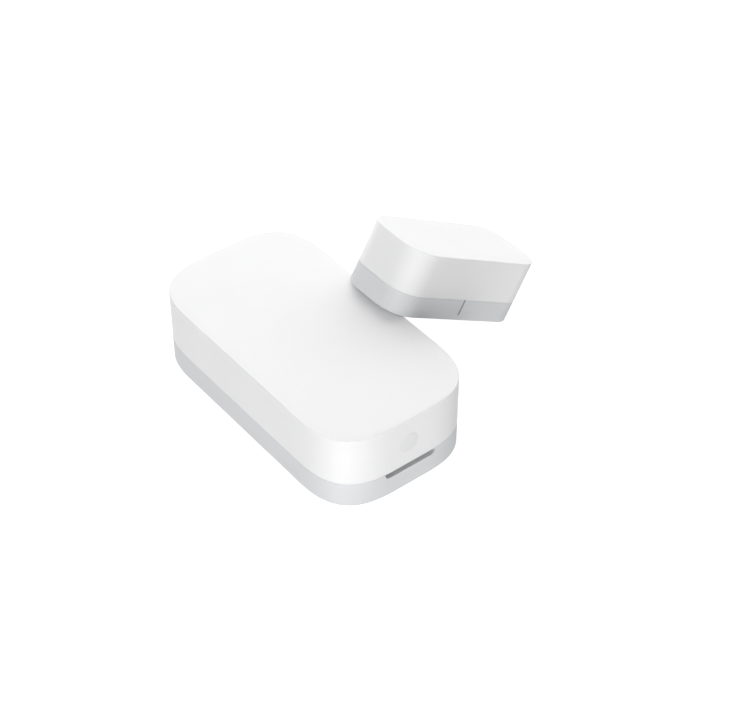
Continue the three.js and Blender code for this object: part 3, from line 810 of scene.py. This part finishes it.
def battery_contacts():
    """A bracket that touches the cell's side, and a sprung tongue that presses on its cap."""
    thick, low, reach = CONTACT["thick"], CONTACT["bottom"], CONTACT["foot"]
    foot = board_low.z - SOLDER
    edge = CELL_CENTRE.x + HOLDER["bore"]
    strip("battery_positive_contact", [
        (edge, low), (edge + thick, low), (edge + thick, foot - thick),
        (edge + reach, foot - thick), (edge + reach, foot), (edge, foot),
    ], 3.2, 0, GOLD)
    x, touch = CELL_CENTRE.x, cap_high.z + CONTACT["play"]
    strip("battery_negative_contact", [
        (x - 4, foot - thick), (x - 2.4, foot - thick), (x - 0.6, touch), (x + 1.4, touch),
        (x + 2.4, touch + 0.4), (x + 2.2, touch + 0.6), (x + 1.3, touch + thick),
        (x - 0.5, touch + thick), (x - 2.3, foot), (x - 4, foot),
    ], 2.4, 0, GOLD)


def reed_switch():
    """A sealed glass tube with a necked bore, and a lead whose blade reaches in at each end."""
    low, high = box_mm("reed_glass_tube")
    centre, half = (low + high) / 2, (high.x - low.x) / 2
    radius, bore, neck = REED["radius"], REED["bore"], REED["neck"]
    made = object_of("reed_glass_tube", turned_mesh([
        (neck, -half + 1.2, 0), (neck, -half, 0.1), (radius, -half, 0.4),
        (radius, half, 0.4), (neck, half, 0.1), (neck, half - 1.2, 0),
    ], MIDDLE_ROUND))
    cut(made, turned_mesh([
        (0, -half - 1, 0), (neck, -half - 1, 0), (neck, -half + 0.9, 0.2), (bore, -half + 1.4, 0.2),
        (bore, half - 1.4, 0.2), (neck, half - 0.9, 0.2), (neck, half + 1, 0), (0, half + 1, 0),
    ], MIDDLE_ROUND))
    made.data.transform(Matrix.Translation(centre * MM) @ LAY_ALONG_X)
    piece(made, "sensor_head", ["reed_glass_tube"], GLASS)
    thick, foot = LEAD["thick"], board_low.z - SOLDER
    for name, side in (("reed_lead_left", -1), ("reed_lead_right", 1)):
        blade = centre.z - side * LEAD["lift"] - thick / 2
        tip = centre.x - side * LEAD["overlap"]
        bend = centre.x + side * (half + LEAD["bend"])
        end = bend + side * LEAD["foot"]
        strip(name, [
            (tip, blade), (bend + side * thick, blade), (bend + side * thick, foot - thick),
            (end, foot - thick), (end, foot), (bend, foot),
            (bend, blade + thick), (tip, blade + thick),
        ], LEAD["width"], centre.y, STEEL)


def button_switch():
    """Side-push switch: a block with a well for the plunger's travel, under a dimpled plate."""
    low, high = box_mm("switch_housing")
    made = object_of("switch_housing", soft_box(low, high, 0.1))
    stem_low, stem_high = box_mm("switch_plunger")
    travel, play, past = 0.45, 0.1, 1
    well_low = stem_low - Vector((travel, play, play))
    cut(made, soft_box(well_low, stem_high + Vector((past, play, play)), 0))
    piece(made, "sensor_head", ["switch_housing"], BLACK)
    stem = object_of("switch_plunger", soft_box(stem_low, stem_high, 0.12, 3))
    piece(stem, "plunger", ["switch_plunger"], BLACK)
    plate_low, plate_high = box_mm("switch_cover_plate")
    plate = object_of("switch_cover_plate", soft_box(plate_low, plate_high, 0.04))
    dimple = turned_mesh([(0, -0.2, 0), (0.5, -0.2, 0), (0.4, 0.05, 0), (0, 0.05, 0)], SMALL_ROUND)
    centre = (plate_low + plate_high) / 2
    cut(plate, moved(dimple, x=centre.x, y=centre.y, z=plate_low.z))
    piece(plate, "sensor_head", ["switch_cover_plate"], STEEL)


def end_capped(name, material):
    """A chip part: a ceramic body with a metal cap on each end of its longer side."""
    low, high = box_mm(name)
    skin = Vector((0.03, 0.03, 0.03))
    made = object_of(name, soft_box(low + skin, high - skin, 0.03))
    piece(made, "sensor_head", [name], material)
    add_metal(made, [soft_box(start, end, 0.05) for start, end in ends_of(name, 0.22)], STEEL)
    return made


def moulded_chip(name, inset_x, inset_y):
    """A moulded package with its round orientation dimple near one corner."""
    low, high = box_mm(name)
    inset = Vector((inset_x, inset_y, 0))
    low, high = low + inset, high - inset
    made = object_of(name, soft_box(low, high, 0.06))
    reach = 0.2 * min(high.x - low.x, high.y - low.y)
    depth, above = 0.05, 0.1
    corners = [(0, -depth, 0), (reach * 0.4, -depth, 0), (reach * 0.5, above, 0), (0, above, 0)]
    dimple = moved(turned_mesh(corners, TINY_ROUND), x=low.x + reach, y=high.y - reach, z=high.z)
    cut(made, dimple)
    return piece(made, "sensor_head", [name], CHIP)


def radio_chip():
    """A flat no-lead package with eight pads along each side."""
    made = moulded_chip("radio_chip", 0.06, 0.06)
    low, high = box_mm("radio_chip")
    pitch, half, length, top = 0.5, 0.12, 0.35, low.z + 0.2
    pads = []
    for number in range(8):
        along = (number - 3.5) * pitch
        x, y = (low.x + high.x) / 2 + along, (low.y + high.y) / 2 + along
        for start, end in ((low.x, low.x + length), (high.x - length, high.x)):
            pads.append(soft_box((start, y - half, low.z), (end, y + half, top), 0.02, 1))
        for start, end in ((low.y, low.y + length), (high.y - length, high.y)):
            pads.append(soft_box((x - half, start, low.z), (x + half, end, top), 0.02, 1))
    add_metal(made, pads, STEEL)


def regulator_chip():
    """A small five-legged package, with three legs on one side and two on the other."""
    made = moulded_chip("regulator_chip", 0, 0.3)
    low, high = box_mm("regulator_chip")
    pitch, half, foot, thick = 0.95, 0.2, 0.32, 0.1
    foot_top, leg_top = low.z + 0.14, low.z + 0.4
    middle = (low.x + high.x) / 2
    legs = []
    for side, places in ((low.y, (-pitch, 0, pitch)), (high.y - foot, (-pitch, pitch))):
        bend = side + foot - thick if side == low.y else side
        for place in places:
            left, right = middle + place - half, middle + place + half
            legs.append(soft_box((left, side, low.z), (right, side + foot, foot_top), 0.03))
            legs.append(soft_box((left, bend, low.z), (right, bend + thick, leg_top), 0.03))
    add_metal(made, legs, STEEL)


def power_inductor():
    """A shielded inductor: a dark block with the round end of its core showing on top."""
    low, high = box_mm("power_inductor")
    made = object_of("power_inductor", soft_box(low, high, 0.22, 3))
    groove = ring_mesh([(0.62, -0.06), (0.7, -0.06), (0.72, 0.05), (0.6, 0.05)], MIDDLE_ROUND)
    middle = (low + high) / 2
    cut(made, moved(groove, x=middle.x, y=middle.y, z=high.z))
    piece(made, "sensor_head", ["power_inductor"], CHIP)
    foot_top, ends = low.z + 0.12, ends_of("power_inductor", 0.2)
    add_metal(made, [soft_box(start, (end.x, end.y, foot_top), 0.02) for start, end in ends], STEEL)


def chip_antenna():
    """A ceramic bar with a printed conductor that winds back and forth over its top."""
    made = end_capped("chip_antenna", WHITE_CERAMIC)
    low, high = box_mm("chip_antenna")
    turns, line, share = 7, 0.16, 0.56
    pitch = (high.y - low.y) * share / (turns - 1)
    start_y = (low.y + high.y) / 2 - pitch * (turns - 1) / 2
    left, right, under, top = low.x + 0.2, high.x - 0.2, high.z - 0.05, high.z - 0.01
    bars = []
    for turn in range(turns):
        y = start_y + turn * pitch
        bars.append(soft_box((left, y, under), (right, y + line, top), 0))
        if turn < turns - 1:
            x = right - line if turn % 2 else left
            bars.append(soft_box((x, y, under), (x + line, y + pitch + line, top), 0))
    add_metal(made, bars, GOLD)


def status_led():
    """A side-capped light-emitting diode with a clear domed lens."""
    made = end_capped("status_led", WHITE_CERAMIC)
    low, high = box_mm("status_led")
    lens_low = Vector((low.x + 0.38, low.y + 0.06, high.z - 0.2))
    lens_high = Vector((high.x - 0.38, high.y - 0.06, high.z))
    add_metal(made, [soft_box(lens_low, lens_high, 0.08, 3)], GLASS)


def crystal_can():
    """A metal lid, a little smaller than the flange that it is welded to."""
    low, high = box_mm("crystal_can")
    step, rim = Vector((0, 0, 0.15)), Vector((0.25, 0.25, 0))
    made = object_of("crystal_can", soft_box(low, high - step, 0.05))
    join(made, soft_box(low + rim, high - rim, 0.1, 3))
    return piece(made, "sensor_head", ["crystal_can"], NICKEL)


# ---- Coin cell ----------------------------------------


def cell_piece(name, mesh, material):
    """Adds a turned piece of the cell, which lifts out on its own body."""
    made = object_of(name, moved(mesh, x=CELL_CENTRE.x))
    return piece(made, "coin_cell", [name], material)


def coin_cell():
    """A steel can crimped over a black gasket, and the cap that shows in the middle."""
    radius = (can_high.x - can_low.x) / 2
    low, rim, top, wall = can_low.z, can_high.z, cap_high.z, CELL["wall"]
    cell_piece("battery_can", turned_mesh([
        (0, low, 0), (radius - 1.1, low, 0), (radius - 1.0, low + 0.05, 0.03), (radius - 0.9, low, 0.03),
        (radius, low, 0.45), (radius, rim, 0.42), (radius - CELL["crimp"], rim, 0.08),
        (radius - wall, rim - 0.45, 0.1), (radius - wall, low + wall, 0.3), (0, low + wall, 0),
    ], BIG_ROUND), STEEL)
    gasket_low, gasket_high = box_mm("battery_gasket")
    foot, high, edge = gasket_low.z, gasket_high.z, 0.06
    inner, outer = radius - CELL["gasket_inner"], radius - CELL["gasket_outer"]
    cell_piece("battery_gasket", ring_mesh([
        (inner, foot), (outer, foot), (outer, high - edge),
        (outer - edge, high), (inner + edge, high), (inner, high - edge),
    ], BIG_ROUND), BLACK)
    outer = radius - CELL["cap"]
    cell_piece("battery_cap", turned_mesh([
        (0, top - wall, 0), (outer - 0.8, top - wall, 0.1), (outer - wall, top - 0.65, 0.2),
        (outer - wall, cap_low.z, 0.05), (outer, cap_low.z, 0.05), (outer, top - 0.4, 0.2),
        (outer - 0.8, top, 0.3), (0, top, 0),
    ], BIG_ROUND), STEEL)


# ---- Magnet unit, built upright and then set leaning -


pad_mount = mounts["magnet_pad_face"]
lean = math.acos(-pad_mount["axis"][2])
MAGNET_PLACE = (
    Matrix.Translation(Vector(pad_mount["pos_m"]))
    @ Matrix.Rotation(-lean, 4, "X")
    @ Matrix.Rotation(math.pi / 2, 4, "Z")
)


def magnet_piece(made, node, material, more=()):
    """Sets a piece leaning in its place and puts it on the magnet unit's body."""
    made.data.transform(MAGNET_PLACE)
    return piece(made, "magnet_unit", [node], material, more)


def magnet_cover():
    """White upper shell, with two ribs that press on the magnet."""
    seam = MAGNET_SEAM + SEAM_GAP / 2
    ceiling = MAGNET_HEIGHT - MAGNET_CEILING
    made = object_of("magnet_cover", shell_mesh(MAGNET, [
        (MAGNET_WALL + 1, ceiling, 0), (MAGNET_WALL, ceiling, 0.3), (MAGNET_WALL, seam, 0.08),
        (0, seam, SEAM_EDGE), (0, MAGNET_HEIGHT, MAGNET_TOP_EDGE), (0.8, MAGNET_HEIGHT, 0),
    ]))
    half, reach, bite = PRESS_RIBS["half"], PRESS_RIBS["reach"], 0.2
    for x in PRESS_RIBS["places"]:
        low = (x - half, -reach, PRESS_RIBS["bottom"])
        join(made, soft_box(low, (x + half, reach, ceiling + bite), 0.06))
    return magnet_piece(made, "magnet_cover", WHITE)


def magnet_base():
    """Grey lower shell with a cradle for the magnet, the pad's recess and the mark."""
    seam = MAGNET_SEAM - SEAM_GAP / 2
    made = object_of("magnet_base", shell_mesh(MAGNET, [
        (MAGNET_LIP_INNER + 0.6, MAGNET_FLOOR, 0),
        (MAGNET_LIP_INNER, MAGNET_FLOOR, 0.2),
        (MAGNET_LIP_INNER, MAGNET_LIP_TOP, 0.1),
        (MAGNET_LIP_OUTER, MAGNET_LIP_TOP, 0.12),
        (MAGNET_LIP_OUTER, seam, 0),
        (0, seam, SEAM_EDGE),
        (0, PAD_PROUD, BASE_EDGE),
        (0.8, PAD_PROUD, 0),
    ]))
    for middle in (-CRADLE["middle"], CRADLE["middle"]):
        low = (-CRADLE["reach"], middle - CRADLE["half"], CRADLE["foot"])
        join(made, soft_box(low, (CRADLE["reach"], middle + CRADLE["half"], CRADLE["top"]), 0.06))
    recess = [plan_ring(MAGNET_RECESS, 0, z) for z in (-1, MAGNET_RECESS_DEPTH)]
    cut(made, loft_mesh(recess))
    side = -MAGNET["width"] / 2
    cut(made, mark_cutter(0, side, -1, MARK["bottom"], seam + 0.3))
    # The mark's faces take the darker grey: painted shade in the groove.
    low = (-MARK["width"], side + NEAR / 2, MARK["bottom"] - NEAR)
    paint_recess_shade(made, low, (MARK["width"], side + MARK["depth"] + NEAR, seam - NEAR))
    return magnet_piece(made, "magnet_base", GREY, [PAINTED_RECESS_SHADE])


def bar_magnet():
    """The nickel-plated bar magnet."""
    x, y = BAR["half_length"], BAR["half_width"]
    block = soft_box((-x, -y, BAR["bottom"]), (x, y, BAR["top"]), 0.25, 3)
    return magnet_piece(object_of("bar_magnet", block), "bar_magnet", NICKEL)


def magnet_pad():
    """Foam tape under the magnet unit."""
    made = slab("magnet_adhesive_pad", MAGNET_PAD, 0, 0, MAGNET_PAD_DEPTH, PAD_EDGE)
    magnet_piece(made, "magnet_adhesive_pad", FOAM)


# ---- Build everything ---------------------------------

front_cover()
rear_cover()
sensor_pad()
reset_button()
circuit_board()
battery_holder()
battery_contacts()
reed_switch()
button_switch()
coin_cell()
radio_chip()
regulator_chip()
power_inductor()
crystal_can()
chip_antenna()
status_led()
for number in range(1, 7):
    end_capped(f"capacitor_{number}", TAN_CERAMIC)
for number in range(1, 5):
    end_capped(f"resistor_{number}", CHIP)
magnet_cover()
magnet_base()
bar_magnet()
magnet_pad()

# ---- Floor, light and camera --------------------------

AIM = Vector((2.015, 7.395, 3.294)) * MM
CAMERA_AZIMUTH, CAMERA_ELEVATION, CAMERA_DISTANCE = 51.9, 42.09, 245.7
FOCAL_LENGTH = 92.34
LIGHT_DISTANCE, KEY_SIZE, SOFT_SIZE = 0.5, 0.2, 0.3  # metres
WORLD_STRENGTH = 0.63


def light_table():
    """A white light table that sweeps up into a white wall all round, out of the lights' way."""
    centre, radius, height, sweep = 0.01, 1600, 1500, 500
    profile = rounded([(centre, 0, 0), (radius, 0, sweep), (radius, height, 0)])
    mesh, _ = skinned([circle_ring(out, z, BIG_ROUND) for out, z in profile])
    made = object_of("light_table", mesh)
    look = Nodes("light_table")
    look.set(Roughness=0.9, Emission_Strength=0.9)
    look.shader.inputs["Base Color"].default_value = (0.4, 0.4, 0.4, 1)
    look.shader.inputs["Emission Color"].default_value = (1, 1, 1, 1)
    made.data.materials.append(look.material)
    made.visible_diffuse = False
    made.visible_shadow = False


def heading(azimuth, elevation):
    """The unit vector from the aim point towards a light or the camera, in degrees."""
    turn, rise = math.radians(azimuth), math.radians(elevation)
    flat = math.cos(rise)
    return Vector((math.sin(turn) * flat, -math.cos(turn) * flat, math.sin(rise)))


def aimed(name, data, towards, distance):
    """Adds a light or camera that looks at the aim point from a distance in metres."""
    made = bpy.data.objects.new(name, data)
    bpy.context.scene.collection.objects.link(made)
    made.location = AIM + towards * distance
    made.rotation_euler = (-towards).to_track_quat("-Z", "Y").to_euler()
    return made


def area_light(name, azimuth, elevation, size, power):
    """A square softbox, in metres and watts."""
    data = bpy.data.lights.new(name, "AREA")
    data.shape = "SQUARE"
    data.size = size
    data.energy = power
    aimed(name, data, heading(azimuth, elevation), LIGHT_DISTANCE).visible_camera = False


def studio_world():
    """A band of light above the horizon that fades out towards the top and the bottom."""
    world = bpy.data.worlds.new("studio")
    world.use_nodes = True
    tree = world.node_tree
    split = tree.nodes.new("ShaderNodeSeparateXYZ")
    tree.links.new(tree.nodes.new("ShaderNodeTexCoord").outputs["Generated"], split.inputs["Vector"])
    height = tree.nodes.new("ShaderNodeMapRange")
    height.inputs["From Min"].default_value = -1
    tree.links.new(split.outputs["Z"], height.inputs["Value"])
    ramp = tree.nodes.new("ShaderNodeValToRGB")
    stops = ramp.color_ramp.elements
    horizon, band = 0.5, 0.75
    stops.new(horizon)
    stops.new(band)
    for stop, grey in zip(stops, (0, 0.33, 1, 0)):
        stop.color = (grey, grey, grey, 1)
    tree.links.new(height.outputs["Result"], ramp.inputs["Fac"])
    tree.links.new(ramp.outputs["Color"], tree.nodes["Background"].inputs["Color"])
    tree.nodes["Background"].inputs["Strength"].default_value = WORLD_STRENGTH
    bpy.context.scene.world = world


light_table()
studio_world()
area_light("key_high", 38, 8, KEY_SIZE, 0.49)
area_light("key_low", 62, -8, KEY_SIZE, 0.68)
area_light("under", 38, -25, KEY_SIZE, 0.69)
area_light("left", 275, -15, SOFT_SIZE, 0.78)
area_light("back_right", 190, 35, SOFT_SIZE, 0.59)
area_light("back", 225, 35, SOFT_SIZE, 0.35)
area_light("back_left", 255, 35, SOFT_SIZE, 0.51)
area_light("back_high", 255, 60, SOFT_SIZE, 0.43)
area_light("overhead", 50, 60, SOFT_SIZE, 0.43)
bpy.context.scene.view_settings.view_transform = "Standard"

lens = bpy.data.cameras.new("camera")
lens.lens = FOCAL_LENGTH
lens.sensor_width = 36.0
lens.clip_start = 0.01
lens.clip_end = 20.0
towards = heading(CAMERA_AZIMUTH, CAMERA_ELEVATION)
bpy.context.scene.camera = aimed("camera", lens, towards, CAMERA_DISTANCE * MM)
